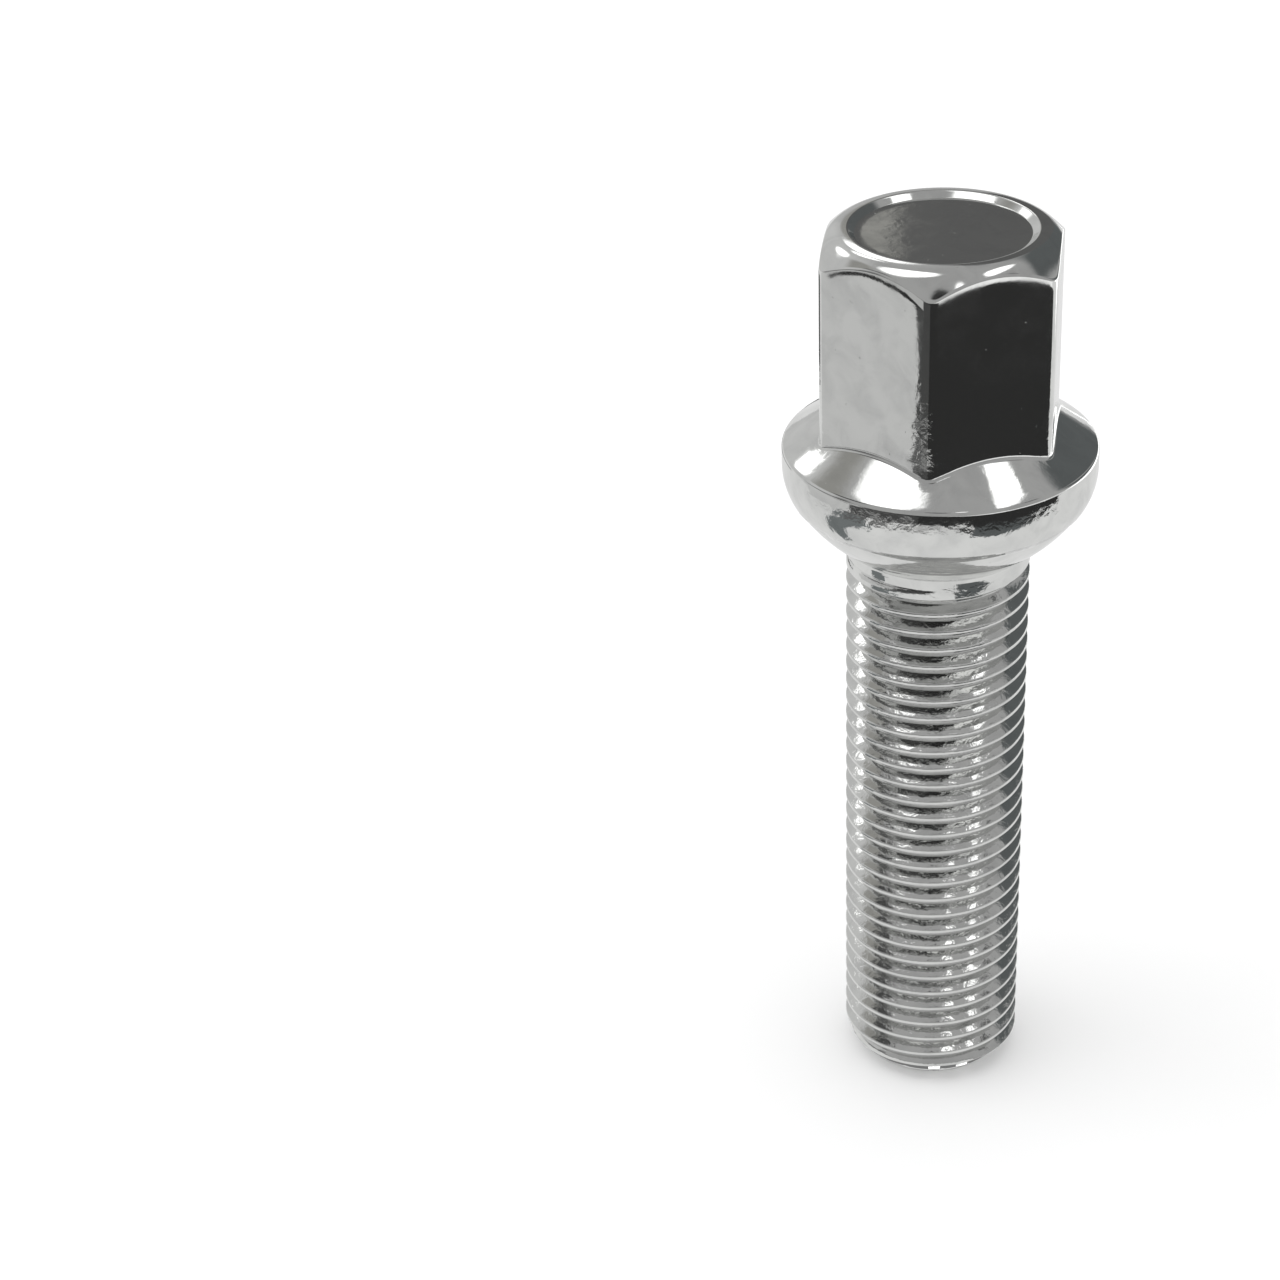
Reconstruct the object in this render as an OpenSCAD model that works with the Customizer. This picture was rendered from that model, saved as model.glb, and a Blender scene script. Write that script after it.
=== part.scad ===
// Wheel bolt with a hexagon head, a collar with a ball seat and a fine-threaded shank.
// It stands on its tip: the origin is the centre of the tip face, and +Z points to the head.

/* [Shank] */
// Length of the shank, from the tip face to where it runs into the ball seat
shank_length = 46.4; // [30:0.1:60]
// Diameter over the crests of the thread
crest_diameter = 13.9; // [11.9:0.1:14.5]
// Length of the lead-in chamfer at the tip, along the shank
tip_chamfer_length = 1.8; // [0.8:0.1:3]
// Width of the lead-in chamfer, from the crests in to the flat tip face
tip_chamfer_width = 1.75; // [0.6:0.05:2.5]
// Radius of the fillet between the shank and the ball seat
root_fillet_radius = 0.6; // [0.3:0.05:1]

/* [Ball seat and collar] */
// Radius of the ball that the seat is part of
seat_ball_radius = 13; // [12:0.5:14]
// Height of the seat, from the end of the shank up to its edge
seat_height = 4.06; // [3:0.01:5]
// Step from the edge of the turned seat out to the forged side of the collar
seat_step = 0.1; // [0.05:0.01:0.2]
// How far the side of the collar stands out past that step
collar_overhang = 0.65; // [0.3:0.05:1.5]
// Height of the curved part of the collar's side, above the edge of the seat
collar_curve_height = 2.45; // [1.5:0.05:3.5]
// Height of the straight part of the collar's side
collar_side_height = 1.3; // [0.4:0.05:3]
// Radius that rounds the rim of the collar
rim_radius = 0.35; // [0.1:0.05:0.8]
// Slope of the collar's top, in degrees from level
collar_slope = 35; // [20:1:42]

/* [Hexagon head] */
// Width of the hexagon across its flats
hex_across_flats = 17; // [16:0.5:18]
// Radius that rounds the upright corners of the hexagon
hex_corner_radius = 1.2; // [0.3:0.1:1.6]
// Height of the head, from the rim of the collar to the crown
head_height = 17.3; // [13:0.1:22]
// Slope of the chamfer round the crown, in degrees from level
crown_slope = 46; // [30:1:55]
// Radius that rounds the chamfer into the level land on the crown
crown_shoulder_radius = 1.2; // [0.2:0.05:1.5]
// How far the outer edge of the land lies inside the flats
land_inset = 1.1; // [0.8:0.05:2]
// Width of the land
land_width = 0.45; // [0.2:0.05:1]
// Radius that rounds the inner edge of the land into the wall of the dish
lip_radius = 0.25; // [0.1:0.05:0.35]
// Depth of the dished face below the land
dish_depth = 0.4; // [0.4:0.05:0.8]
// Angle between the wall of the dish and its floor
dish_wall_slope = 40; // [35:1:60]

/* [Hidden] */
$fn = 96;
hex_sides = 6;
hex_half_turn = 180 / hex_sides;
right_angle = 90;
overlap = 1;
// Rounding arcs are drawn this much over the circle that would just touch, so that they cross
// the faces they blend
blend = 0.002;

// Shank and seat
crest_radius = crest_diameter / 2;
tip_radius = crest_radius - tip_chamfer_width;
seat_centre_height = shank_length + sqrt(pow(seat_ball_radius, 2) - pow(crest_radius, 2));
seat_edge_height = shank_length + seat_height;
seat_radius = sqrt(pow(seat_ball_radius, 2) - pow(seat_centre_height - seat_edge_height, 2));

// The fillet is a circle that touches the shank and the ball from outside
fillet_centre_radius = crest_radius + root_fillet_radius;
fillet_reach = seat_ball_radius + root_fillet_radius;
fillet_drop = sqrt(pow(fillet_reach, 2) - pow(fillet_centre_radius, 2));
fillet_centre_height = seat_centre_height - fillet_drop;
fillet_share = (root_fillet_radius + overlap) / fillet_reach;

// The side of the collar is an arc that ends upright where the straight part starts
collar_radius = seat_radius + seat_step + collar_overhang;
collar_arc_half_turn = atan(collar_overhang / collar_curve_height);
collar_arc_radius = collar_curve_height / sin(2 * collar_arc_half_turn);
collar_arc_height = seat_edge_height + collar_curve_height;
rim_height = collar_arc_height + collar_side_height;
rim_half_turn = (right_angle - collar_slope) / 2;
rim_corner_height = rim_height + rim_radius * tan(rim_half_turn);
collar_peak_height = rim_corner_height + collar_radius * tan(collar_slope);

// Hexagon and crown
hex_half_width = hex_across_flats / 2;
hex_reach = hex_half_width / cos(hex_half_turn);
hex_corner_centre = (hex_half_width - hex_corner_radius) / cos(hex_half_turn);
overall_length = rim_height + head_height;
land_radius = hex_half_width - land_inset;
crown_corner_radius = land_radius + crown_shoulder_radius * tan(crown_slope / 2);
crown_outer_radius = hex_reach + overlap;
crown_outer_height = overall_length - (crown_outer_radius - crown_corner_radius) * tan(crown_slope);
dish_height = overall_length - dish_depth;
lip_arc_radius = land_radius - land_width;
lip_corner_radius = lip_arc_radius - lip_radius * tan(dish_wall_slope / 2);
dish_radius = lip_corner_radius - dish_depth / tan(dish_wall_slope);

// What a rounding arc takes off a corner. The arc has its centre at the origin, its middle on +X
// and turns half_turn to each side of it.
module corner_trim(radius, half_turn) {
    trim_size = 2 * radius;
    difference() {
        translate([radius * cos(half_turn), -trim_size / 2])
            square(trim_size);
        circle(r = radius + blend);
    }
}

// Half section of the shank, with the lead-in chamfer at its tip
module shank_section() {
    polygon([
        [0, 0],
        [tip_radius, 0],
        [crest_radius, tip_chamfer_length],
        [crest_radius, shank_length + overlap],
        [0, shank_length + overlap]
    ]);
}

// Half section of the fillet that leads from the shank into the ball
module fillet_section() {
    difference() {
        polygon([
            [0, fillet_centre_height],
            [fillet_centre_radius, fillet_centre_height],
            [
                fillet_centre_radius * (1 - fillet_share),
                fillet_centre_height + fillet_drop * fillet_share
            ],
            [0, fillet_centre_height + fillet_drop * fillet_share]
        ]);
        translate([fillet_centre_radius, fillet_centre_height])
            circle(r = root_fillet_radius + blend);
    }
}

// Half section of the ball seat
module seat_section() {
    intersection() {
        translate([0, seat_centre_height])
            circle(r = seat_ball_radius);
        polygon([
            [0, fillet_centre_height],
            [collar_radius, fillet_centre_height],
            [collar_radius, seat_edge_height],
            [0, seat_edge_height]
        ]);
    }
}

// Half section of the collar: curved side, straight side, rounded rim and sloping top
module collar_section() {
    difference() {
        polygon([
            [0, seat_edge_height],
            [collar_radius, seat_edge_height],
            [collar_radius, rim_corner_height],
            [0, collar_peak_height]
        ]);
        translate([collar_radius - collar_arc_radius, collar_arc_height])
            rotate(-collar_arc_half_turn)
                corner_trim(collar_arc_radius, collar_arc_half_turn);
        translate([collar_radius - rim_radius, rim_height])
            rotate(rim_half_turn)
                corner_trim(rim_radius, rim_half_turn);
    }
}

// Half section that shapes the top of the hexagon: chamfer, shoulder, land and dish
module crown_section() {
    difference() {
        polygon([
            [0, rim_height],
            [crown_outer_radius, rim_height],
            [crown_outer_radius, crown_outer_height],
            [crown_corner_radius, overall_length],
            [lip_corner_radius, overall_length],
            [dish_radius, dish_height],
            [0, dish_height]
        ]);
        translate([land_radius, overall_length - crown_shoulder_radius])
            rotate(right_angle - crown_slope / 2)
                corner_trim(crown_shoulder_radius, crown_slope / 2);
        translate([lip_arc_radius, overall_length - lip_radius])
            rotate(right_angle + dish_wall_slope / 2)
                corner_trim(lip_radius, dish_wall_slope / 2);
    }
}

// Outline of the hexagon, with a corner towards -Y and every corner rounded
module hex_outline() {
    corners = [for (side = [1:hex_sides]) (2 * side - 1) * hex_half_turn];
    difference() {
        polygon([for (corner = corners) hex_reach * [cos(corner), sin(corner)]]);
        for (corner = corners)
            rotate(corner)
                translate([hex_corner_centre, 0])
                    corner_trim(hex_corner_radius, hex_half_turn);
    }
}

module turned_body() {
    rotate_extrude() {
        shank_section();
        fillet_section();
        seat_section();
        collar_section();
    }
}

module hex_head() {
    intersection() {
        translate([0, 0, rim_height])
            linear_extrude(height = head_height)
                hex_outline();
        rotate_extrude()
            crown_section();
    }
}

module wheel_bolt() {
    color("silver")
        union() {
            turned_body();
            hex_head();
        }
}

wheel_bolt();
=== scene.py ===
"""Studio scene of a plated wheel bolt that stands on the tip of its threaded shank."""

import logging
import math
from dataclasses import dataclass, field
from enum import Enum

import bpy
import numpy as np
from mathutils import Matrix, Vector


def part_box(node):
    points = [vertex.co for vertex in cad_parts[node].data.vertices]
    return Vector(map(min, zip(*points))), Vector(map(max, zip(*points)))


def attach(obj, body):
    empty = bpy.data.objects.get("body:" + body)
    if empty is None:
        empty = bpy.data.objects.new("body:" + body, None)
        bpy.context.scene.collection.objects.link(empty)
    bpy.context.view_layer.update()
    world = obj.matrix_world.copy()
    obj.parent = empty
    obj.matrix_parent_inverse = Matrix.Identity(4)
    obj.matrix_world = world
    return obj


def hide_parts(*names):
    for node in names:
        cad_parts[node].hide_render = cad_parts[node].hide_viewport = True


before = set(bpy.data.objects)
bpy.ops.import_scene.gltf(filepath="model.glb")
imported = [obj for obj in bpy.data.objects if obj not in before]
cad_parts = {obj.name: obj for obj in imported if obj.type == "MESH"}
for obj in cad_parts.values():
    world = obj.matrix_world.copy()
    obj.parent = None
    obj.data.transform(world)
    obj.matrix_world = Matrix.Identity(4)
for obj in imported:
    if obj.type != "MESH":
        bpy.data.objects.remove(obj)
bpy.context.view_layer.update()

MM = 0.001
NODE = "wheel_bolt"
BODY = "root"
WEAR = "wear"
SIDES = 6
SECTOR = 360.0 / SIDES
HALF_SECTOR = SECTOR / 2
MIX_SHARE, MIX_FIRST, MIX_SECOND, MIX_RESULT = 0, 6, 7, 2
log = logging.getLogger("wheel_bolt_scene")


class Seen(Enum):
    """Who sees a piece of the studio."""

    BY_ALL = "by all"
    IN_REFLECTIONS = "in reflections"


class Level(Enum):
    """How bright a card or a patch of the walls is, from black felt to a lit screen."""

    BLACK = 0.03
    SOOT = 0.07
    DARK = 0.12
    SHADE = 0.20
    DIM = 0.33
    GREY = 0.41
    MIST = 0.50
    PALE = 0.62
    BRIGHT = 0.80
    LIT = 1.10
    WHITE = 1.90


class Tint(Enum):
    """The tint of a card or a patch of the walls, as shares of red, green and blue."""

    NEUTRAL = (1.0, 1.0, 1.0)
    COOL = (0.94, 1.01, 1.03)
    WARM = (1.01, 1.0, 0.95)

    def at(self, level: Level) -> tuple[float, float, float, float]:
        """Gives the tint's colour at a level.

        Args:
            level: How bright the colour is.

        Returns:
            The colour, with full cover.
        """
        red, green, blue = (share * level.value for share in self.value)
        return (red, green, blue, 1.0)


# Node trees and finishes


class NodeBoard:
    """A node tree with short calls for the nodes that the finishes are made of."""

    def __init__(self, tree: bpy.types.NodeTree) -> None:
        """Empties the tree.

        Args:
            tree: The node tree of a material or a world.
        """
        self.tree = tree
        self.tree.nodes.clear()

    def add(self, kind: str, **settings: object) -> bpy.types.Node:
        """Adds a node.

        Args:
            kind: The node's type name.
            **settings: Properties of the node, by name.

        Returns:
            The new node.
        """
        node = self.tree.nodes.new(kind)
        for name, value in settings.items():
            setattr(node, name, value)
        return node

    def join(self, source: bpy.types.NodeSocket, target: bpy.types.NodeSocket) -> None:
        """Links an output to an input."""
        self.tree.links.new(source, target)

    def mapped(
        self,
        value: bpy.types.NodeSocket,
        source: tuple[float, float],
        target: tuple[float, float],
    ) -> bpy.types.NodeSocket:
        """Maps a value smoothly from one range to another.

        Args:
            value: The value to map.
            source: The range that the value has.
            target: The range that it gets.

        Returns:
            The mapped value.
        """
        node = self.add("ShaderNodeMapRange", interpolation_type="SMOOTHSTEP")
        self.join(value, node.inputs["Value"])
        node.inputs["From Min"].default_value = source[0]
        node.inputs["From Max"].default_value = source[1]
        node.inputs["To Min"].default_value = target[0]
        node.inputs["To Max"].default_value = target[1]
        return node.outputs["Result"]

    def noise(
        self, place: bpy.types.NodeSocket, grain: float, detail: float, distortion: float = 0.0
    ) -> bpy.types.NodeSocket:
        """Adds a noise texture.

        Args:
            place: The coordinates, in metres.
            grain: The size of the noise's grain, in metres.
            detail: How many finer octaves it has.
            distortion: How much it is twisted.

        Returns:
            The noise's value.
        """
        node = self.add("ShaderNodeTexNoise")
        self.join(place, node.inputs["Vector"])
        node.inputs["Scale"].default_value = 1.0 / grain
        node.inputs["Detail"].default_value = detail
        node.inputs["Distortion"].default_value = distortion
        return node.outputs["Fac"]

    def bump(
        self,
        height: bpy.types.NodeSocket,
        depth: float,
        below: bpy.types.NodeSocket | None = None,
    ) -> bpy.types.NodeSocket:
        """Adds a bump.

        Args:
            height: The height of the bump, from 0 to 1.
            depth: How deep it is, in metres.
            below: The normal of a bump that this one lies on.

        Returns:
            The bumped normal.
        """
        node = self.add("ShaderNodeBump")
        node.inputs["Strength"].default_value = 1.0
        node.inputs["Distance"].default_value = depth
        self.join(height, node.inputs["Height"])
        if below is not None:
            self.join(below, node.inputs["Normal"])
        return node.outputs["Normal"]

    def blended(
        self,
        share: bpy.types.NodeSocket,
        first: tuple[float, float, float],
        second: tuple[float, float, float],
    ) -> bpy.types.NodeSocket:
        """Blends two colours.

        Args:
            share: How much of the second colour shows, from 0 to 1.
            first: The first colour.
            second: The second colour.

        Returns:
            The blended colour.
        """
        node = self.add("ShaderNodeMix", data_type="RGBA")
        self.join(share, node.inputs[MIX_SHARE])
        node.inputs[MIX_FIRST].default_value = (*first, 1.0)
        node.inputs[MIX_SECOND].default_value = (*second, 1.0)
        return node.outputs[MIX_RESULT]


@dataclass(frozen=True)
class PlatingFinish:
    """Bright nickel and chrome over a forged and rolled surface.

    Tarnish clouds dull the plating, a fine peel ripples it, dents grow where the mesh is worn,
    and small pits are sunk where their noise is lowest.
    """

    name: str = "plating"
    bright: tuple[float, float, float] = (0.765, 0.77, 0.755)
    dull: tuple[float, float, float] = (0.66, 0.665, 0.655)
    smooth: float = 0.035
    rough: float = 0.10
    tarnish_grain: float = 2.4 * MM
    tarnish_detail: float = 5.0
    tarnish_twist: float = 0.6
    dull_range: tuple[float, float] = (0.35, 0.75)
    rough_range: tuple[float, float] = (0.3, 0.75)
    peel_grain: float = 1.6 * MM
    peel_detail: float = 3.0
    peel_depth: float = 0.003 * MM
    dent_grain: float = 0.9 * MM
    dent_detail: float = 4.0
    dent_twist: float = 0.4
    dent_depth: float = 0.045 * MM
    pit_grain: float = 0.5 * MM
    pit_detail: float = 2.0
    pit_range: tuple[float, float] = (0.20, 0.26)
    pit_depth: float = 0.004 * MM

    def material(self) -> bpy.types.Material:
        """Builds the material.

        Returns:
            The plating material.
        """
        made = bpy.data.materials.new(self.name)
        made.use_nodes = True
        board = NodeBoard(made.node_tree)
        place = board.add("ShaderNodeTexCoord").outputs["Object"]
        shader = board.add("ShaderNodeBsdfPrincipled")
        shader.inputs["Metallic"].default_value = 1.0
        tarnish = board.noise(
            place, self.tarnish_grain, self.tarnish_detail, self.tarnish_twist
        )
        peel = board.noise(place, self.peel_grain, self.peel_detail)
        pits = board.noise(place, self.pit_grain, self.pit_detail)
        pit_mask = board.mapped(pits, self.pit_range, (0.0, 1.0))
        dullness = board.mapped(tarnish, self.dull_range, (0.0, 1.0))
        board.join(board.blended(dullness, self.bright, self.dull), shader.inputs["Base Color"])
        board.join(
            board.mapped(tarnish, self.rough_range, (self.smooth, self.rough)),
            shader.inputs["Roughness"],
        )
        worn = board.add("ShaderNodeAttribute", attribute_name=WEAR).outputs["Fac"]
        dents = board.noise(place, self.dent_grain, self.dent_detail, self.dent_twist)
        scuffs = board.add("ShaderNodeMath", operation="MULTIPLY")
        board.join(worn, scuffs.inputs[0])
        board.join(dents, scuffs.inputs[1])
        waves = board.bump(peel, self.peel_depth)
        waves = board.bump(scuffs.outputs[0], self.dent_depth, waves)
        board.join(board.bump(pit_mask, self.pit_depth, waves), shader.inputs["Normal"])
        output = board.add("ShaderNodeOutputMaterial")
        board.join(shader.outputs["BSDF"], output.inputs["Surface"])
        return made


@dataclass(frozen=True)
class PaperFinish:
    """The matt white paper of the studio's floor."""

    name: str = "floor_paper"
    colour: tuple[float, float, float] = (0.86, 0.86, 0.86)
    shade: tuple[float, float, float] = (0.84, 0.84, 0.84)
    roughness: float = 0.75
    cloud_grain: float = 60.0 * MM
    cloud_detail: float = 2.0
    fibre_grain: float = 0.8 * MM
    fibre_detail: float = 3.0
    fibre_depth: float = 0.01 * MM

    def material(self) -> bpy.types.Material:
        """Builds the material.

        Returns:
            The paper material.
        """
        made = bpy.data.materials.new(self.name)
        made.use_nodes = True
        board = NodeBoard(made.node_tree)
        place = board.add("ShaderNodeTexCoord").outputs["Object"]
        shader = board.add("ShaderNodeBsdfPrincipled")
        shader.inputs["Roughness"].default_value = self.roughness
        clouds = board.noise(place, self.cloud_grain, self.cloud_detail)
        fibres = board.noise(place, self.fibre_grain, self.fibre_detail)
        board.join(board.blended(clouds, self.colour, self.shade), shader.inputs["Base Color"])
        board.join(board.bump(fibres, self.fibre_depth), shader.inputs["Normal"])
        output = board.add("ShaderNodeOutputMaterial")
        board.join(shader.outputs["BSDF"], output.inputs["Surface"])
        return made


@dataclass(frozen=True)
class CardFinish:
    """The even glow of a reflector card, or the dark of a black one."""

    level: Level
    tint: Tint

    def material(self) -> bpy.types.Material:
        """Builds the material.

        Returns:
            The card material.
        """
        made = bpy.data.materials.new("_".join(("card", self.level.name, self.tint.name)).lower())
        made.use_nodes = True
        board = NodeBoard(made.node_tree)
        glow = board.add("ShaderNodeEmission")
        glow.inputs["Color"].default_value = self.tint.at(self.level)
        output = board.add("ShaderNodeOutputMaterial")
        board.join(glow.outputs["Emission"], output.inputs["Surface"])
        return made


# Meshes


class RowStack:
    """A closed mesh built as rows of vertices round the bolt's axis, from the crown to the tip."""

    def __init__(self, azimuths: np.ndarray) -> None:
        """Starts an empty stack.

        Args:
            azimuths: The azimuth of each column, in radians, from 0 up to a full turn.
        """
        self.azimuths = azimuths
        self.count = len(azimuths)
        self.points: list[tuple[float, float, float]] = []
        self.faces: list[tuple[int, ...]] = []
        self.last: list[int] = []
        self.wear: np.ndarray | float = 0.0
        self.worn: list[float] = []

    def vertex(self, column: int, radius: float, height: float) -> int:
        """Adds a vertex.

        Args:
            column: Its column.
            radius: How far it is from the axis, in millimetres.
            height: Its height over the floor, in millimetres.

        Returns:
            Its index.
        """
        azimuth = self.azimuths[column]
        self.points.append(
            (radius * math.cos(azimuth) * MM, radius * math.sin(azimuth) * MM, height * MM)
        )
        self.worn.append(float(np.broadcast_to(self.wear, self.count)[column]))
        return len(self.points) - 1

    def face(self, *corners: int) -> None:
        """Adds a face, less any corner that is there twice.

        Args:
            *corners: The indices of its corners, in order.
        """
        kept = [c for i, c in enumerate(corners) if c != corners[i - 1]]
        if len(set(kept)) == len(kept) and len(kept) > 2:
            self.faces.append(tuple(kept))

    def cap(self, height: float) -> None:
        """Starts or ends the stack with a point on the axis.

        Args:
            height: The point's height, in millimetres.
        """
        self.points.append((0.0, 0.0, height * MM))
        self.worn.append(float(np.mean(self.wear)))
        tip = len(self.points) - 1
        if self.last:
            for column in range(self.count):
                self.face(self.last[column], tip, self.last[(column + 1) % self.count])
        self.last = [tip] * self.count

    def row(self, radius: np.ndarray | float, height: np.ndarray | float) -> None:
        """Adds a row and joins it to the last one.

        Args:
            radius: The radius at each column, or one for all, in millimetres.
            height: The height at each column, or one for all, in millimetres.
        """
        radii = np.broadcast_to(radius, self.count)
        heights = np.broadcast_to(height, self.count)
        fresh = [self.vertex(c, radii[c], heights[c]) for c in range(self.count)]
        self.link(self.last, fresh)
        self.last = fresh

    def link(self, upper: list[int], lower: list[int]) -> None:
        """Joins two rows with faces.

        Args:
            upper: The row above, or nearer to the axis on the crown.
            lower: The row below.
        """
        for column in range(self.count):
            after = (column + 1) % self.count
            self.face(upper[column], lower[column], lower[after], upper[after])

    def arc(
        self,
        centre_radius: np.ndarray | float,
        centre_height: np.ndarray | float,
        radius: float,
        turn: tuple[float, float],
        steps: int,
    ) -> None:
        """Adds rows along an arc of the section.

        Args:
            centre_radius: How far the arc's centre is from the axis, in millimetres.
            centre_height: The height of the arc's centre, in millimetres.
            radius: The arc's radius, in millimetres.
            turn: The angles that it starts and ends at, in degrees from level.
            steps: How many faces follow the arc.
        """
        for angle in np.radians(np.linspace(turn[0], turn[1], steps + 1)):
            self.row(
                centre_radius + radius * math.cos(angle),
                centre_height + radius * math.sin(angle),
            )

    def mesh_object(self, name: str) -> bpy.types.Object:
        """Makes the Blender object.

        Args:
            name: The object's name.

        Returns:
            The object, smooth shaded and linked to the scene.
        """
        mesh = bpy.data.meshes.new(name)
        mesh.from_pydata(self.points, [], self.faces)
        worn = mesh.attributes.new(WEAR, "FLOAT", "POINT")
        worn.data.foreach_set("value", self.worn)
        mesh.polygons.foreach_set("use_smooth", [True] * len(mesh.polygons))
        made = bpy.data.objects.new(name, mesh)
        bpy.context.scene.collection.objects.link(made)
        return made


@dataclass
class Thread:
    """The rolled M14 x 1.5 thread: right-handed, with flat crests and round roots."""

    crest_radius: float
    pitch: float = 1.5
    depth: float = 0.88
    crest_flat: float = 0.285
    crest_round: float = 0.12
    root_round: float = 0.20
    flank_angle: float = 30.0
    runout: float = 1.6
    phase: float = -0.35

    @property
    def crest_start(self) -> float:
        """How far from the crest's middle its rounding starts, in millimetres."""
        turn = math.radians(90 - self.flank_angle)
        return self.crest_flat / 2 - self.crest_round * math.tan(turn / 2)

    def offsets(self) -> np.ndarray:
        """Places the rows of one turn.

        Returns:
            Heights over the middle of the crest, from the upper root down to just above the lower.
        """
        half = self.pitch / 2
        tangent = self.root_round * math.cos(math.radians(self.flank_angle))
        root = half - np.array([0.0, 0.5, 1.0]) * tangent
        turn = 90 - self.flank_angle
        crest = self.crest_start + self.crest_round * np.sin(np.radians([turn, turn / 2, 0.0]))
        upper = np.concatenate([root, crest])
        return np.concatenate([upper, -upper[:0:-1]])

    def radius(self, offset: float) -> float:
        """Gives the thread's radius.

        Args:
            offset: The height over the middle of the nearest crest, in millimetres.

        Returns:
            The radius there, in millimetres.
        """
        slope = 1.0 / math.tan(math.radians(self.flank_angle))
        away = abs(offset)
        flank = self.crest_radius - slope * (away - self.crest_flat / 2)
        flank = min(self.crest_radius, flank)
        over = max(0.0, away - self.crest_start)
        if over < self.crest_round * math.cos(math.radians(self.flank_angle)):
            arc = math.sqrt(self.crest_round**2 - over**2)
            return self.crest_radius - self.crest_round + arc
        floor = self.crest_radius - self.depth
        gap = self.pitch / 2 - away
        tangent = self.root_round * math.cos(math.radians(self.flank_angle))
        if gap < tangent:
            return floor + self.root_round - math.sqrt(self.root_round**2 - gap**2)
        return max(flank, floor)


@dataclass(frozen=True)
class CrownProfile:
    """The crown from the lip outwards: a land that falls a little, a shoulder and a chamfer.

    Each station is a distance from the inner edge of the land, in millimetres, and the slope
    there in degrees. The slope changes evenly between stations.
    """

    inner_radius: float
    top: float
    stations: tuple[tuple[float, float], ...] = (
        (0.0, 0.0),
        (0.1, 6.0),
        (0.45, 7.0),
        (1.4, 42.0),
        (2.7, 48.5),
    )

    def slope(self, radius: np.ndarray | float) -> np.ndarray | float:
        """Gives the slope at a radius, in degrees."""
        reaches, slopes = zip(*self.stations)
        return np.interp(np.asarray(radius) - self.inner_radius, reaches, slopes)

    def height(self, radius: np.ndarray | float) -> np.ndarray | float:
        """Gives the height at a radius.

        Args:
            radius: The radius, in millimetres, from the inner edge of the land outwards.

        Returns:
            The height over the floor, in millimetres.
        """
        reach = np.asarray(radius) - self.inner_radius
        drop = np.zeros_like(reach, dtype=float)
        for (start, first), (end, last) in zip(self.stations, self.stations[1:]):
            length = np.clip(reach, start, end) - start
            turn = math.radians(last - first) / (end - start)
            begin = math.radians(first)
            drop += (math.log(math.cos(begin)) - np.log(np.cos(begin + turn * length))) / turn
        return self.top - drop


@dataclass
class Slope:
    """The sloping top of the collar."""

    peak: float
    degrees: float

    def height(self, radius: np.ndarray | float) -> np.ndarray | float:
        """Gives the height of the slope at a radius, in millimetres."""
        return self.peak - radius * math.tan(math.radians(self.degrees))

    def above(self, radius: np.ndarray | float, gap: float) -> np.ndarray | float:
        """Gives the height at a radius that stands a gap off the slope, in millimetres."""
        return self.height(radius) + gap / math.cos(math.radians(self.degrees))


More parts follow.
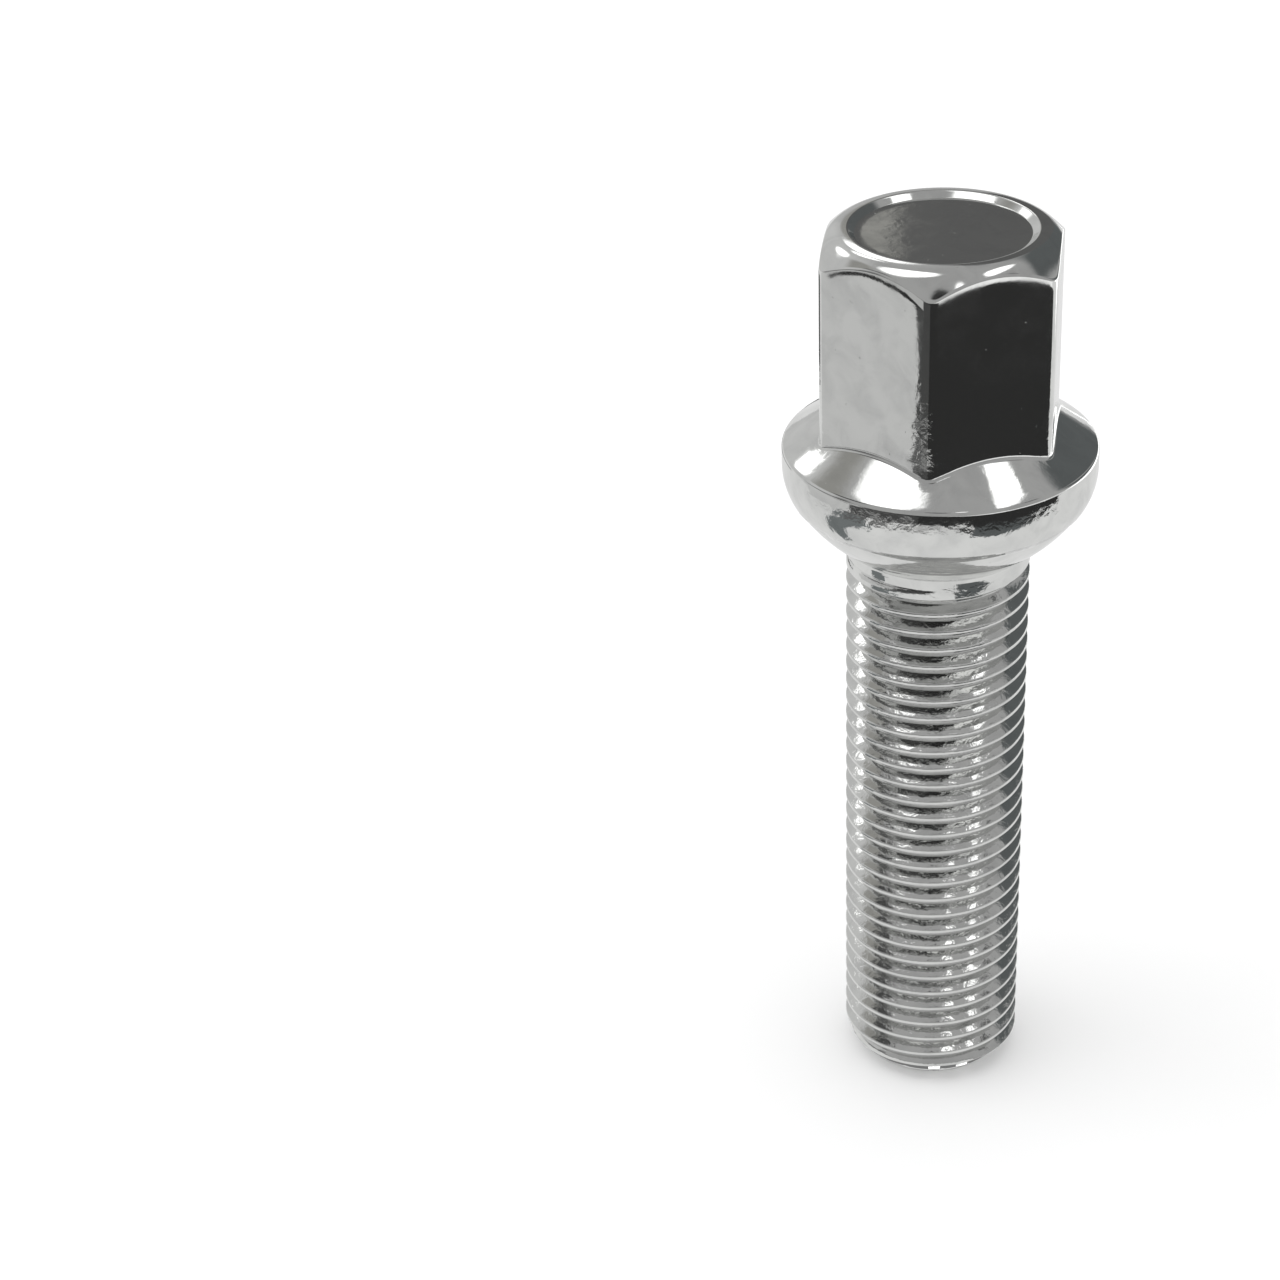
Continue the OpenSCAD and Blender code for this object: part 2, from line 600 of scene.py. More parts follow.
@dataclass
class HexHead:
    """The hexagon head: dished face, lip, land, shoulder, chamfer, flats and foot."""

    top: float
    across_flats: float = 17.0
    corner_round: float = 1.2
    land_inset: float = 1.1
    land_width: float = 0.45
    lip_round: float = 0.25
    dish_depth: float = 0.4
    dish_wall_slope: float = 40.0
    dish_fillet: float = 0.1
    dish_bow: float = 0.02
    edge_round: float = 0.38
    roll_width: float = 1.3
    roll_slope: float = 3.5
    foot_round: float = 0.45
    corner_steps: int = 8
    flat_steps: int = 22
    dish_rows: tuple[float, ...] = (0.2, 0.4, 0.6, 0.78, 0.9)
    crown_rows: tuple[float, ...] = (
        0.05, 0.1, 0.25, 0.45, 0.6, 0.75, 0.9, 1.05, 1.2, 1.32, 1.42,
    )
    chamfer_rows: tuple[float, ...] = (0.33, 0.66, 0.9)
    edge_rows: tuple[float, ...] = (0.0, 0.25, 0.5, 0.75, 1.0)
    flat_rows: tuple[float, ...] = (0.05, 0.2, 0.4, 0.6, 0.8, 0.95)
    crown_wear: float = 0.06
    flat_wear: float = 0.05
    low_wear: float = 0.05
    corner_wear: float = 0.6
    wear_start: float = 0.25
    wear_run: float = 0.5

    @property
    def half_width(self) -> float:
        """Half the width across flats."""
        return self.across_flats / 2

    @property
    def corner_reach(self) -> float:
        """How far the centre of a corner's rounding is from the axis."""
        return (self.half_width - self.corner_round) / math.cos(math.radians(HALF_SECTOR))

    @property
    def corner_spread(self) -> float:
        """The azimuth from a corner's middle to where the flat starts.

        Returns:
            The azimuth, in degrees.
        """
        across = self.corner_round * math.sin(math.radians(HALF_SECTOR))
        along = self.corner_reach + self.corner_round * math.cos(math.radians(HALF_SECTOR))
        return math.degrees(math.atan2(across, along))

    def azimuths(self) -> np.ndarray:
        """Places the columns, close together at the corners.

        Returns:
            The azimuths in radians, from 0 up to a full turn.
        """
        spread = self.corner_spread
        corner = np.linspace(-spread, spread, self.corner_steps + 1)[:-1]
        flat = np.linspace(spread, SECTOR - spread, self.flat_steps + 1)[:-1]
        sector = np.concatenate([corner, flat])
        turned = [sector + HALF_SECTOR + SECTOR * side for side in range(SIDES)]
        return np.radians(np.concatenate(turned))

    def outline(self, azimuths: np.ndarray) -> np.ndarray:
        """Gives the radius of the rounded hexagon.

        Args:
            azimuths: Azimuths in radians.

        Returns:
            The radius at each azimuth, in millimetres.
        """
        from_corner = np.degrees(azimuths) % SECTOR - HALF_SECTOR
        angle = np.radians(from_corner)
        flat = self.half_width / np.cos(np.radians(HALF_SECTOR) - np.abs(angle))
        reach = self.corner_reach
        inside = np.maximum(self.corner_round**2 - (reach * np.sin(angle)) ** 2, 0.0)
        corner = reach * np.cos(angle) + np.sqrt(inside)
        sharp = np.where(np.abs(from_corner) < self.corner_spread, corner, flat)
        return sharp - self.roll_off(azimuths)

    def roll_off(self, azimuths: np.ndarray) -> np.ndarray:
        """Gives how far the forged flats fall away towards the corners.

        Args:
            azimuths: Azimuths in radians.

        Returns:
            The fall at each azimuth, in millimetres.
        """
        turned = np.degrees(azimuths) % SECTOR
        from_middle = np.abs(turned - SECTOR * (turned > HALF_SECTOR))
        place = self.half_width * np.tan(np.radians(np.minimum(from_middle, HALF_SECTOR)))
        edge = self.half_width * math.tan(math.radians(HALF_SECTOR - self.corner_spread))
        depth = math.tan(math.radians(self.roll_slope)) * self.roll_width / 2
        return depth * np.clip(1 - (edge - place) / self.roll_width, 0.0, 1.0) ** 2

    def wear(self, azimuths: np.ndarray, drop: float) -> np.ndarray:
        """Gives how worn the flats are: hardly in their middle, more at the corners' feet.

        Args:
            azimuths: Azimuths in radians.
            drop: How far down the flats, from 0 at the crown to 1 at the foot.

        Returns:
            The wear at each azimuth, from 0 to 1.
        """
        most = self.roll_off(np.array([math.radians(HALF_SECTOR)]))
        corner = self.roll_off(azimuths) / most
        low = min(max((drop - self.wear_start) / self.wear_run, 0.0), 1.0)
        return self.flat_wear + low * (self.low_wear + self.corner_wear * np.sqrt(corner))

    def build(self, stack: RowStack, collar_top: Slope) -> None:
        """Adds the head's rows, from the middle of the dish to the foot.

        Args:
            stack: The stack to add to.
            collar_top: The sloping top of the collar, which the foot runs into.
        """
        outline = self.outline(stack.azimuths)
        lip = self.half_width - self.land_inset - self.land_width
        floor = self.top - self.dish_depth
        half_slope = math.tan(math.radians(self.dish_wall_slope / 2))
        wall = self.dish_depth / math.tan(math.radians(self.dish_wall_slope))
        corner = lip - self.lip_round * half_slope - wall
        flat = corner - self.dish_fillet * half_slope
        stack.wear = self.crown_wear
        stack.cap(floor - self.dish_bow)
        for share in self.dish_rows:
            stack.row(flat * share, floor - self.dish_bow * (1 - share**2))
        wall_turn = (-90, -90 + self.dish_wall_slope)
        stack.arc(flat, floor + self.dish_fillet, self.dish_fillet, wall_turn, 4)
        lip_turn = (90 + self.dish_wall_slope, 90)
        stack.arc(lip, self.top - self.lip_round, self.lip_round, lip_turn, 5)
        crown = CrownProfile(lip, self.top)
        for reach in self.crown_rows:
            stack.row(lip + reach, crown.height(lip + reach))
        start = lip + self.crown_rows[-1]
        edge_slope = np.radians(crown.slope(outline - self.edge_round * 0.3))
        reach = outline - self.edge_round * (1 - np.sin(edge_slope))
        edge_height = crown.height(reach)
        centre_height = edge_height - self.edge_round * np.cos(edge_slope)
        for share in self.chamfer_rows:
            radius = start + np.maximum(reach - start, 0.0) * share
            stack.row(radius, crown.height(radius))
        for share in self.edge_rows:
            angle = (math.pi / 2 - edge_slope) * (1 - share)
            radius = outline - self.edge_round * (1 - np.cos(angle))
            stack.row(radius, centre_height + self.edge_round * np.sin(angle))
        fillet_radius = outline + self.foot_round
        fillet_height = collar_top.above(fillet_radius, self.foot_round)
        for share in self.flat_rows:
            stack.wear = self.wear(stack.azimuths, share)
            stack.row(outline, centre_height + (fillet_height - centre_height) * share)
        foot_turn = (180, 270 - collar_top.degrees)
        stack.arc(fillet_radius, fillet_height, self.foot_round, foot_turn, 4)


@dataclass
class Collar:
    """The round collar: sloping top, rounded rim, side that turns under, and the ball seat.

    The rim is a little rounder than the solid's, whose own rounding places the slope.
    """

    radius: float
    rim_height: float
    shank_radius: float
    shank_length: float = 46.4
    slope_degrees: float = 35.0
    rim_round: float = 0.45
    solid_rim_round: float = 0.35
    curve_height: float = 2.45
    side_height: float = 1.3
    overhang: float = 0.65
    step: float = 0.1
    ball: float = 13.0
    fillet: float = 0.6
    top_rows: tuple[float, ...] = (0.3, 0.6, 0.85)
    top_wear: float = 0.15
    side_wear: float = 0.8
    seat_wear: float = 0.2

    @property
    def slope(self) -> Slope:
        """The sloping top, whose corner with the side is rounded by the rim.

        Returns:
            The slope.
        """
        half_turn = math.radians((90 - self.slope_degrees) / 2)
        corner = self.rim_height + self.solid_rim_round * math.tan(half_turn)
        return Slope(
            corner + self.radius * math.tan(math.radians(self.slope_degrees)), self.slope_degrees
        )

    @property
    def ball_height(self) -> float:
        """The height of the ball's centre."""
        return self.shank_length + math.sqrt(self.ball**2 - self.shank_radius**2)

    def build(self, stack: RowStack, inner: np.ndarray) -> None:
        """Adds the collar's rows, from the foot of the hexagon to the fillet under the seat.

        Args:
            stack: The stack to add to.
            inner: The radius at each column where the foot's fillet ends.
        """
        slope = self.slope
        stack.wear = self.top_wear
        rim_radius = self.radius - self.rim_round
        rim_centre = slope.above(rim_radius, -self.rim_round)
        start = rim_radius + self.rim_round * math.sin(math.radians(self.slope_degrees))
        for share in self.top_rows:
            radius = inner + (start - inner) * share
            stack.row(radius, slope.height(radius))
        stack.arc(rim_radius, rim_centre, self.rim_round, (90 - self.slope_degrees, 0), 5)
        side_foot = self.rim_height - self.side_height
        stack.wear = self.side_wear
        stack.row(self.radius, (rim_centre + side_foot) / 2)
        half_turn = math.atan(self.overhang / self.curve_height)
        arc_radius = self.curve_height / math.sin(2 * half_turn)
        curve_turn = (0, -2 * math.degrees(half_turn))
        stack.arc(self.radius - arc_radius, side_foot, arc_radius, curve_turn, 8)
        stack.wear = self.seat_wear
        edge_radius = self.radius - self.overhang - self.step
        edge_drop = math.sqrt(self.ball**2 - edge_radius**2)
        start_angle = -math.degrees(math.asin(edge_drop / self.ball))
        fillet_radius = self.shank_radius + self.fillet
        reach = self.ball + self.fillet
        fillet_angle = -math.degrees(math.acos(fillet_radius / reach))
        stack.arc(0.0, self.ball_height, self.ball, (start_angle, fillet_angle), 9)
        fillet_height = self.ball_height - math.sqrt(reach**2 - fillet_radius**2)
        stack.arc(fillet_radius, fillet_height, self.fillet, (180 + fillet_angle, 180), 4)


@dataclass
class Shank:
    """The shank: a plain band under the seat, the thread and the chamfered tip."""

    thread: Thread
    plain_end: float = 45.65
    tip_chamfer_length: float = 1.8
    tip_chamfer_width: float = 1.75
    tip_dome: float = 0.07
    tip_round: float = 0.12
    tip_rows: tuple[float, ...] = (0.85, 0.6, 0.3)
    wear: float = 0.85
    least_step: float = 0.012

    def chamfer(self, height: float) -> float:
        """Gives the radius of the domed tip chamfer.

        Args:
            height: The height over the tip face, in millimetres.

        Returns:
            The radius that nothing passes there, in millimetres.
        """
        share = height / self.tip_chamfer_length
        if share >= 1:
            return self.thread.crest_radius
        inner = self.thread.crest_radius - self.tip_chamfer_width
        return inner + self.tip_chamfer_width * share + self.tip_dome * math.sin(math.pi * share)

    def surface(self, offset: float, height: float) -> float:
        """Gives the radius of the threaded shank.

        Args:
            offset: The height over the middle of the nearest crest, in millimetres.
            height: The height over the tip face, in millimetres.

        Returns:
            The radius, in millimetres.
        """
        thread = self.thread
        fade = min(max((self.plain_end - height) / thread.runout, 0.0), 1.0)
        lift = thread.depth * (1 - fade)
        cut = min(thread.crest_radius, thread.radius(offset) + lift)
        return min(cut, self.chamfer(height))

    def build(self, stack: RowStack) -> None:
        """Adds the shank's rows, from under the seat's fillet to the tip face.

        Args:
            stack: The stack to add to.
        """
        thread = self.thread
        stack.wear = self.wear
        stack.row(thread.crest_radius, self.plain_end)
        upper = list(stack.last)
        foot = self.tip_round
        lower = [stack.vertex(c, self.chamfer(foot), foot) for c in range(stack.count)]
        rise = thread.pitch * stack.azimuths / (2 * math.pi)
        turns = math.ceil(self.plain_end / thread.pitch) + 3
        rows: list[list[int]] = []
        offsets = thread.offsets()
        per_turn = len(offsets)
        start = self.plain_end + thread.pitch + (thread.phase % thread.pitch)
        for turn in range(turns):
            for offset in offsets:
                base = start - turn * thread.pitch + offset
                row = []
                for column in range(stack.count):
                    height = base + rise[column]
                    if height > self.plain_end - self.least_step:
                        row.append(upper[column])
                    elif height < foot + self.least_step:
                        row.append(lower[column])
                    else:
                        row.append(stack.vertex(column, self.surface(offset, height), height))
                rows.append(row)
        for index in range(len(rows) - 1):
            above, below = rows[index], rows[index + 1]
            for column in range(stack.count - 1):
                stack.face(above[column], below[column], below[column + 1], above[column + 1])
            end = stack.count - 1
            before = rows[index - per_turn][0] if index >= per_turn else upper[0]
            after = rows[index + 1 - per_turn][0] if index + 1 >= per_turn else upper[0]
            stack.face(above[end], below[end], after, before)
        stack.last = lower
        stack.arc(self.chamfer(foot) - foot, foot, foot, (-30, -90), 2)
        for share in self.tip_rows:
            stack.row((self.chamfer(foot) - foot) * share, 0.0)
        stack.cap(0.0)


@dataclass
class WheelBolt:
    """The whole bolt: hexagon head, collar with its ball seat, and threaded shank."""

    length: float
    collar_radius: float
    head_height: float = 17.3
    crest_radius: float = 6.95
    normal_weight: int = 80
    finish: PlatingFinish = field(default_factory=PlatingFinish)

    def build(self) -> bpy.types.Object:
        """Builds and dresses the bolt.

        Returns:
            The bolt's mesh object.
        """
        head = HexHead(top=self.length)
        collar = Collar(self.collar_radius, self.length - self.head_height, self.crest_radius)
        shank = Shank(Thread(self.crest_radius))
        stack = RowStack(head.azimuths())
        head.build(stack, collar.slope)
        slope = math.radians(collar.slope_degrees)
        foot = head.outline(stack.azimuths) + head.foot_round * (1 - math.sin(slope))
        collar.build(stack, foot)
        shank.build(stack)
        piece = stack.mesh_object("bolt_body")
        weight = piece.modifiers.new("even_normals", "WEIGHTED_NORMAL")
        weight.mode = "FACE_AREA_WITH_ANGLE"
        weight.weight = self.normal_weight
        weight.keep_sharp = False
        piece.data.materials.append(self.finish.material())
        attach(piece, BODY)
        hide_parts(NODE)
        return piece


# Studio


@dataclass(frozen=True)
class WallPatch:
    """A soft oval patch of the studio's walls, seen in the plating. Its angles are in degrees."""

    azimuth: float
    elevation: float
    half_width: float
    half_height: float
    softness: float
    level: Level
    tilt: float = 0.0
    tint: Tint = Tint.NEUTRAL

    def axes(self) -> Matrix:
        """Gives the patch's frame.

        Returns:
            The patch's width, its height and the direction to its middle, as columns.
        """
        azimuth, elevation = math.radians(self.azimuth), math.radians(self.elevation)
        middle = Vector(
            (
                math.cos(elevation) * math.cos(azimuth),
                math.cos(elevation) * math.sin(azimuth),
                math.sin(elevation),
            )
        )
        across = Vector((-math.sin(azimuth), math.cos(azimuth), 0.0))
        upright = middle.cross(across)
        tilt = math.radians(self.tilt)
        width = math.cos(tilt) * across + math.sin(tilt) * upright
        height = -math.sin(tilt) * across + math.cos(tilt) * upright
        return Matrix((width, height, width.cross(height))).transposed()

    def share(self, board: NodeBoard, direction: bpy.types.NodeSocket) -> bpy.types.NodeSocket:
        """Measures how much of a direction the patch takes.

        Args:
            board: The node tree of the walls.
            direction: The direction that is looked in.

        Returns:
            A value from 0 outside the patch to 1 inside it.
        """
        axes = self.axes()
        place = board.add("ShaderNodeMapping", vector_type="TEXTURE")
        board.join(direction, place.inputs["Vector"])
        place.inputs["Location"].default_value = axes.col[2]
        place.inputs["Rotation"].default_value = axes.to_euler()
        place.inputs["Scale"].default_value = (
            math.sin(math.radians(self.half_width)),
            math.sin(math.radians(self.half_height)),
            1.0,
        )
        away = board.add("ShaderNodeVectorMath", operation="LENGTH")
        board.join(place.outputs["Vector"], away.inputs[0])
        edge = (1.0 - self.softness, 1.0 + self.softness)
        return board.mapped(away.outputs["Value"], edge, (1.0, 0.0))


@dataclass(frozen=True)
class FloorCard:
    """A flat card that lies on the floor round the bolt and shows in the plating.

    Its corners are in millimetres from the bolt's axis.
    """

    name: str
    level: Level
    corners: tuple[tuple[float, float], ...]
    tint: Tint = Tint.NEUTRAL

    def build(self, lift: float) -> bpy.types.Object:
        """Lays the card.

        Args:
            lift: How far the card lies above the floor, in millimetres.

        Returns:
            The card's object.
        """
        mesh = bpy.data.meshes.new(self.name)
        points = [(x * MM, y * MM, lift * MM) for x, y in self.corners]
        mesh.from_pydata(points, [], [tuple(range(len(points)))])
        made = bpy.data.objects.new(self.name, mesh)
        bpy.context.scene.collection.objects.link(made)
        made.data.materials.append(CardFinish(self.level, self.tint).material())
        show(made, Seen.IN_REFLECTIONS)
        return made


def show(piece: bpy.types.Object, seen: Seen) -> None:
    """Sets which rays see a piece of the studio.

    Args:
        piece: The piece.
        seen: Whether all rays see it, or only reflections.
    """
    to_all = seen is Seen.BY_ALL
    piece.visible_glossy = True
    piece.visible_camera = to_all
    piece.visible_diffuse = to_all
    piece.visible_shadow = to_all
    piece.visible_transmission = to_all
    piece.visible_volume_scatter = to_all


WALL_PATCHES = (
    WallPatch(150.0, 16.0, 50.0, 38.0, 0.3, Level.PALE),
    WallPatch(166.0, 44.0, 11.0, 9.0, 0.4, Level.DIM, 0.0, Tint.WARM),
    WallPatch(98.0, 22.0, 4.5, 7.0, 0.2, Level.DIM, 0.0, Tint.WARM),
    WallPatch(-156.0, 10.0, 6.0, 15.0, 0.5, Level.SHADE),
    WallPatch(-165.0, 0.0, 24.0, 8.0, 0.35, Level.DARK),
    WallPatch(-100.0, -8.0, 50.0, 12.0, 0.35, Level.DIM),
    WallPatch(-40.0, -4.0, 18.0, 9.0, 0.35, Level.SHADE),
    WallPatch(52.0, 21.0, 36.0, 27.0, 0.12, Level.DARK, 0.0, Tint.COOL),
    WallPatch(38.0, 21.0, 21.0, 3.2, 0.5, Level.GREY, -39.0),
    WallPatch(86.0, 20.0, 8.5, 18.0, 0.012, Level.DARK, -8.0),
    WallPatch(170.0, 73.0, 15.0, 15.0, 0.15, Level.WHITE),
    WallPatch(24.0, 63.0, 16.0, 6.0, 0.15, Level.WHITE, -15.0),
    WallPatch(1.0, 48.0, 5.0, 3.5, 0.3, Level.DARK),
    WallPatch(103.0, 32.0, 5.0, 5.0, 0.3, Level.WHITE),
    WallPatch(114.0, 41.0, 6.0, 4.0, 0.3, Level.WHITE),
    WallPatch(139.0, 32.0, 8.0, 7.0, 0.25, Level.WHITE),
    WallPatch(-171.0, 49.0, 11.0, 5.5, 0.3, Level.SOOT, 25.0),
    WallPatch(-87.0, 62.0, 6.0, 5.0, 0.25, Level.BLACK),
    WallPatch(-58.0, 66.0, 3.0, 3.0, 0.3, Level.WHITE),
    WallPatch(-17.0, 58.0, 4.0, 3.0, 0.3, Level.WHITE),
)
FLOOR_CARDS = (
    FloorCard(
        "card_floor",
        Level.BRIGHT,
        ((-1400.0, -1400.0), (1400.0, -1400.0), (1400.0, 1400.0), (-1400.0, 1400.0)),
    ),
    FloorCard(
        "card_back_left",
        Level.DARK,
        (
            (-115.0, 72.0), (-76.0, 113.0), (-24.0, 134.0), (-31.0, 175.0), (-100.0, 148.0),
            (-151.0, 94.0),
        ),
    ),
    FloorCard(
        "card_left",
        Level.PALE,
        (
            (-103.0, -46.0), (-116.0, 20.0), (-250.0, 70.0), (-900.0, 100.0), (-900.0, -700.0),
            (-200.0, -200.0), (-145.0, -120.0), (-120.0, -95.0), (-106.0, -70.0),
        ),
    ),
    FloorCard(
        "card_far_left",
        Level.MIST,
        (
            (-900.0, -60.0), (-900.0, -700.0), (-200.0, -200.0), (-145.0, -120.0),
            (-128.0, -100.0), (-135.0, -93.0), (-205.0, -93.0), (-198.0, -60.0),
        ),
    ),
    FloorCard(
        "card_front_left",
        Level.SOOT,
        (
            (-96.0, -66.0), (-108.0, -67.0), (-116.0, -73.0), (-124.0, -80.0), (-138.0, -84.0),
            (-138.0, -92.0), (-128.0, -100.0), (-145.0, -120.0), (-200.0, -200.0),
            (-900.0, -700.0), (-900.0, -900.0), (-24.0, -200.0), (-24.0, -122.0),
            (-40.0, -118.0), (-60.0, -108.0), (-80.0, -94.0),
        ),
    ),
    FloorCard(
        "card_front_rim",
        Level.DIM,
        (
            (-106.0, -68.0), (-98.0, -80.0), (-82.0, -96.0), (-62.0, -111.0), (-42.0, -120.0),
            (-25.0, -125.0), (-25.0, -122.0), (-40.0, -113.0), (-55.0, -103.0), (-70.0, -93.0),
            (-84.0, -81.0), (-98.0, -69.0),
        ),
    ),
    FloorCard(
        "card_near_left",
        Level.SHADE,
        (
            (-36.0, 3.0), (-60.0, 1.0), (-86.0, -11.0), (-101.0, -28.0), (-103.0, -45.0),
            (-94.0, -52.0), (-84.0, -62.0), (-74.0, -72.0), (-62.0, -66.0), (-66.0, -50.0),
            (-66.0, -32.0), (-57.0, -19.0), (-40.0, -9.0),
        ),
        Tint.COOL,
    ),
    FloorCard(
        "card_left_edge",
        Level.DARK,
        (
            (-102.0, -58.0), (-108.0, -66.0), (-98.0, -69.0), (-84.0, -81.0), (-70.0, -93.0),
            (-55.0, -103.0), (-40.0, -113.0), (-25.0, -122.0), (-25.0, -110.0),
            (-32.0, -106.0), (-45.0, -98.0), (-60.0, -87.0), (-72.0, -76.0), (-84.0, -60.0),
            (-94.0, -47.0), (-104.0, -42.0),
        ),
    ),
    FloorCard(
        "card_left_line",
        Level.BLACK,
        (
            (-188.0, -60.0), (-190.0, -70.0), (-194.0, -80.0), (-199.0, -92.0),
            (-194.0, -96.0), (-182.0, -94.0), (-172.0, -93.0), (-158.0, -91.5),
            (-145.0, -92.0), (-137.0, -91.0), (-137.0, -84.0), (-143.0, -80.0),
            (-149.0, -78.5), (-158.0, -80.0), (-164.0, -82.0), (-172.0, -84.5),
            (-178.0, -84.0), (-176.0, -77.0), (-174.0, -70.0), (-168.0, -60.0),
        ),
    ),
    FloorCard(
        "card_front_gap",
        Level.MIST,
        (
            (-26.0, -112.0), (-20.0, -119.0), (12.0, -119.0), (14.0, -112.0), (8.0, -103.0),
            (-25.0, -103.0),
        ),
    ),
    FloorCard(
        "card_near_right",
        Level.DARK,
        (
            (48.0, -94.0), (56.0, -91.0), (70.0, -79.0), (82.0, -65.0), (92.0, -53.0),
            (100.0, -41.0), (104.0, -28.0), (90.0, -33.0), (72.0, -41.0), (60.0, -48.0),
            (48.0, -61.0), (36.0, -73.0), (42.0, -80.0),
        ),
        Tint.COOL,
    ),
    FloorCard(
        "card_front",
        Level.BLACK,
        (
            (12.0, -119.0), (-20.0, -119.0), (-24.0, -122.0), (-24.0, -200.0),
            (-900.0, -900.0), (-900.0, -1200.0), (132.0, -1200.0), (132.0, -140.0),
            (152.0, -124.0), (172.0, -108.0), (176.0, -60.0), (176.0, -20.0), (166.0, 10.0),
            (150.0, 20.0), (116.0, 6.0), (114.0, -8.0), (108.0, -24.0), (100.0, -40.0),
            (92.0, -52.0), (82.0, -64.0), (70.0, -78.0), (56.0, -90.0), (42.0, -100.0),
            (28.0, -109.0), (14.0, -112.0),
        ),
    ),
    FloorCard(
        "card_back_right",
        Level.WHITE,
        ((110.0, 95.0), (400.0, 60.0), (900.0, 300.0), (500.0, 900.0), (60.0, 400.0)),
    ),
    # Painted shade: a dark ring card round the tip, seen only in reflections, stands in for the
    # bolt's contact shadow on the floor under the tip chamfer.
    FloorCard(
        "card_contact_shadow",
        Level.SHADE,
        (
            (-7.1, 1.9), (-7.1, -1.9), (-5.2, -5.2), (-1.9, -7.1), (1.9, -7.1), (5.2, -5.2),
            (7.1, -1.9), (7.1, 1.9), (5.6, 1.5), (5.6, -1.5), (4.1, -4.1), (1.5, -5.6),
            (-1.5, -5.6), (-4.1, -4.1), (-5.6, -1.5), (-5.6, 1.5),
        ),
    ),
    FloorCard(
        "card_right",
        Level.LIT,
        (
            (178.0, -110.0), (160.0, -128.0), (150.0, -180.0), (300.0, -900.0),
            (900.0, -600.0), (400.0, -30.0), (182.0, -30.0),
        ),
    ),
    # Painted highlights: two tiny glowing cards just in front of the tip, seen only in
    # reflections, put two glints on the tip chamfer.
    FloorCard(
        "card_glint_left",
        Level.WHITE,
        (
            (0.4, -6.1), (0.9, -6.1), (1.4, -6.0), (1.3, -5.7), (0.9, -5.8), (0.4, -5.8),
        ),
    ),
    FloorCard(
        "card_glint_right",
        Level.WHITE,
        (
            (2.7, -5.5), (3.2, -5.3), (3.6, -5.0), (3.4, -4.7), (3.0, -5.0), (2.6, -5.3),
        ),
    ),
)


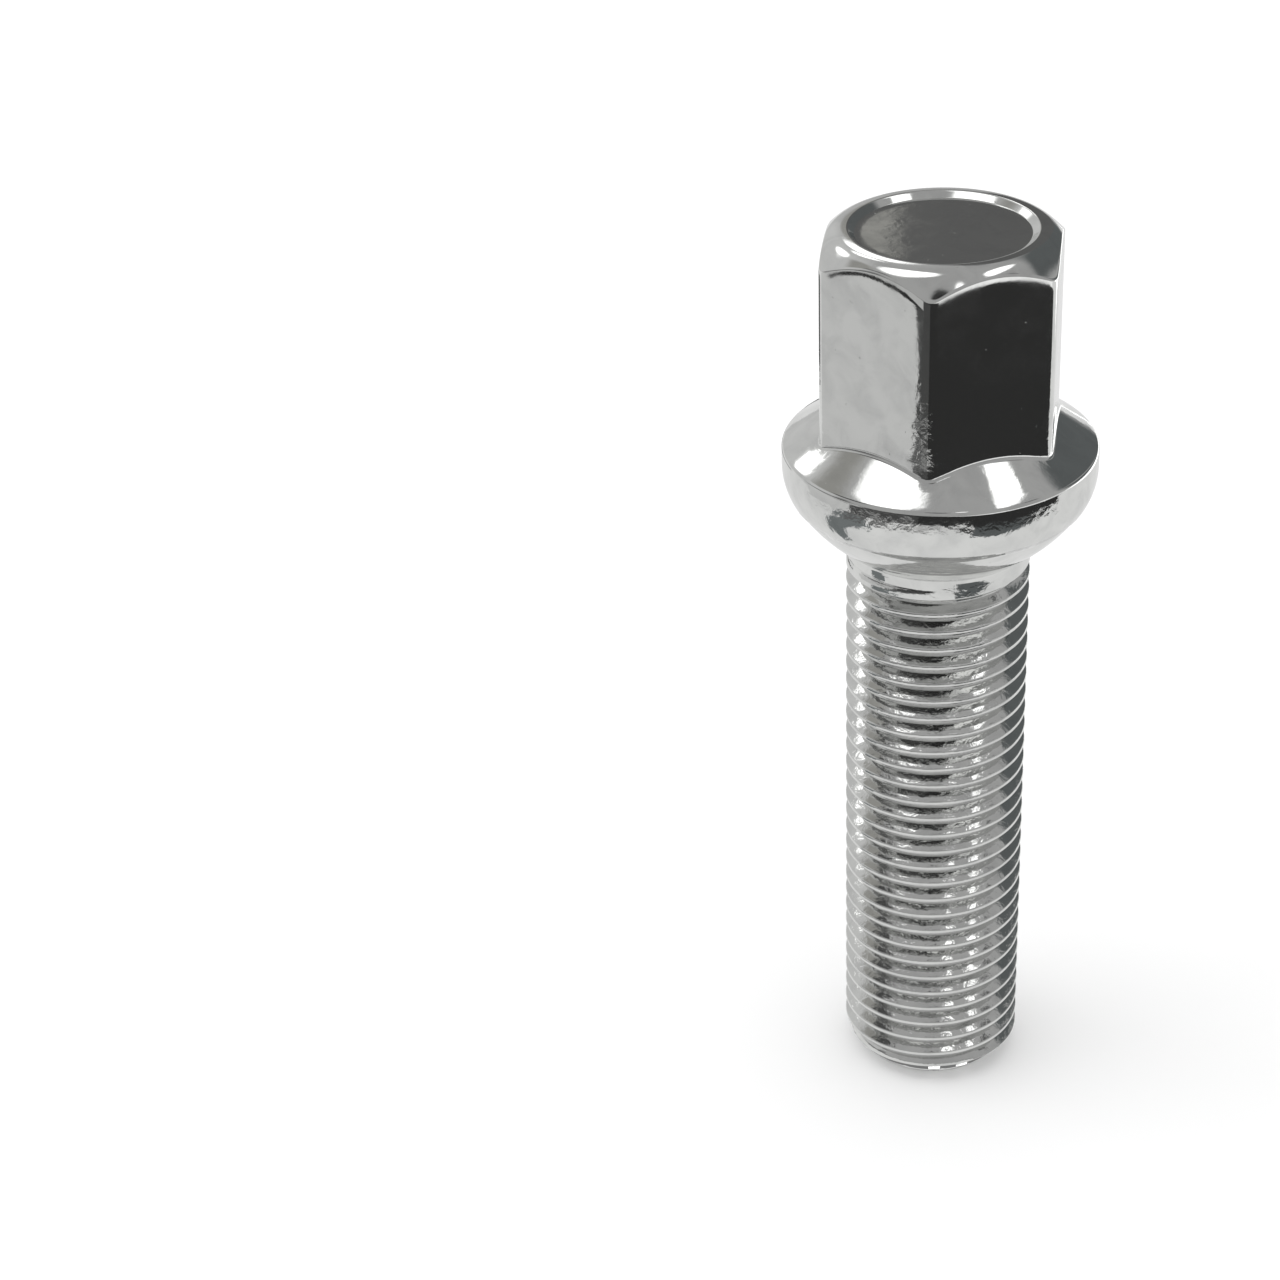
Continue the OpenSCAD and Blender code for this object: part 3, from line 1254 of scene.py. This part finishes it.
@dataclass
class Studio:
    """The pale floor, the walls, the light, the reflector cards and the camera.

    Each card lies a step higher than the one before it, in millimetres. The floor, the light
    and the camera are in metres, and the camera's angles in degrees.
    """

    floor_size: float = 3.0
    walls_level: Level = Level.GREY
    fill_level: float = 1.45
    card_lift: float = 0.1
    card_step: float = 0.03
    key_place: tuple[float, float, float] = (-0.42, -0.06, 0.62)
    key_size: float = 0.5
    key_power: float = 1.0
    aim: tuple[float, float, float] = (0.0, 0.0, 0.035)
    camera_place: tuple[float, float, float] = (17.0 * MM, -207.4 * MM, 157.3 * MM)
    camera_yaw: float = -10.97
    camera_pitch: float = 29.89
    camera_roll: float = -2.18
    focal_pixels: float = 3111.0
    image_pixels: float = 1280.0
    sensor: float = 36.0
    nearest: float = 0.01
    farthest: float = 20.0
    patches: tuple[WallPatch, ...] = WALL_PATCHES
    cards: tuple[FloorCard, ...] = FLOOR_CARDS

    def floor(self) -> bpy.types.Object:
        """Lays the floor.

        Returns:
            The floor's object.
        """
        half = self.floor_size / 2
        corners = [(-half, -half, 0.0), (half, -half, 0.0), (half, half, 0.0), (-half, half, 0.0)]
        mesh = bpy.data.meshes.new("floor")
        mesh.from_pydata(corners, [], [(0, 1, 2, 3)])
        made = bpy.data.objects.new("floor", mesh)
        bpy.context.scene.collection.objects.link(made)
        made.data.materials.append(PaperFinish().material())
        return made

    def walls(self) -> None:
        """Sets the world: a room with soft lighter and darker patches, and an even fill."""
        world = bpy.data.worlds.new("studio_walls")
        world.use_nodes = True
        bpy.context.scene.world = world
        board = NodeBoard(world.node_tree)
        direction = board.add("ShaderNodeTexCoord").outputs["Generated"]
        start = board.add("ShaderNodeRGB")
        start.outputs[0].default_value = Tint.NEUTRAL.at(self.walls_level)
        colour = start.outputs[0]
        for patch in self.patches:
            mix = board.add("ShaderNodeMix", data_type="RGBA")
            board.join(patch.share(board, direction), mix.inputs[MIX_SHARE])
            board.join(colour, mix.inputs[MIX_FIRST])
            mix.inputs[MIX_SECOND].default_value = patch.tint.at(patch.level)
            colour = mix.outputs[MIX_RESULT]
        room = board.add("ShaderNodeBackground")
        board.join(colour, room.inputs["Color"])
        even = board.add("ShaderNodeBackground")
        even.inputs["Strength"].default_value = self.fill_level
        path = board.add("ShaderNodeLightPath")
        choice = board.add("ShaderNodeMixShader")
        board.join(path.outputs["Is Glossy Ray"], choice.inputs[0])
        board.join(even.outputs[0], choice.inputs[1])
        board.join(room.outputs[0], choice.inputs[2])
        output = board.add("ShaderNodeOutputWorld")
        board.join(choice.outputs[0], output.inputs["Surface"])

    def key_light(self) -> bpy.types.Object:
        """Hangs a soft square light that faces the bolt and doesn't show in the plating.

        Returns:
            The light's object.
        """
        data = bpy.data.lights.new("key_light", "AREA")
        data.shape = "SQUARE"
        data.size = self.key_size
        data.energy = self.key_power
        made = bpy.data.objects.new("key_light", data)
        bpy.context.scene.collection.objects.link(made)
        made.location = self.key_place
        made.visible_glossy = False
        ahead = Vector(self.aim) - Vector(self.key_place)
        made.rotation_euler = ahead.to_track_quat("-Z", "Y").to_euler()
        return made

    def camera(self) -> bpy.types.Object:
        """Sets the camera at the photograph's place and angle.

        Returns:
            The camera's object.
        """
        yaw, pitch, roll = (
            math.radians(a) for a in (self.camera_yaw, self.camera_pitch, self.camera_roll)
        )
        ahead = Vector(
            (math.sin(yaw) * math.cos(pitch), math.cos(yaw) * math.cos(pitch), -math.sin(pitch))
        )
        level = ahead.cross(Vector((0.0, 0.0, 1.0))).normalized()
        upright = level.cross(ahead)
        right = math.cos(roll) * level + math.sin(roll) * upright
        up = -math.sin(roll) * level + math.cos(roll) * upright
        data = bpy.data.cameras.new("camera")
        data.sensor_fit = "HORIZONTAL"
        data.sensor_width = self.sensor
        data.lens = self.focal_pixels / self.image_pixels * self.sensor
        data.clip_start = self.nearest
        data.clip_end = self.farthest
        made = bpy.data.objects.new("camera", data)
        bpy.context.scene.collection.objects.link(made)
        turned = Matrix((right, up, -ahead)).transposed().to_4x4()
        made.matrix_world = Matrix.Translation(self.camera_place) @ turned
        bpy.context.scene.camera = made
        return made

    def build(self) -> None:
        """Builds the whole studio."""
        self.floor()
        self.walls()
        for place, card in enumerate(self.cards):
            card.build(self.card_lift + place * self.card_step)
        self.key_light()
        self.camera()
        bpy.context.scene.view_settings.view_transform = "Standard"


def main() -> None:
    """Builds the bolt and its studio, and reports each piece."""
    logging.basicConfig(level=logging.INFO, format="%(name)s: %(message)s")
    low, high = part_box(NODE)
    bolt = WheelBolt(length=high[2] / MM, collar_radius=min(high[0], high[1]) / MM)
    piece = bolt.build()
    mesh = piece.data
    log.info("%s: %d vertices, %d faces", piece.name, len(mesh.vertices), len(mesh.polygons))
    Studio().build()
    log.info("studio: floor, walls, light and camera")


if __name__ == "__main__":
    main()
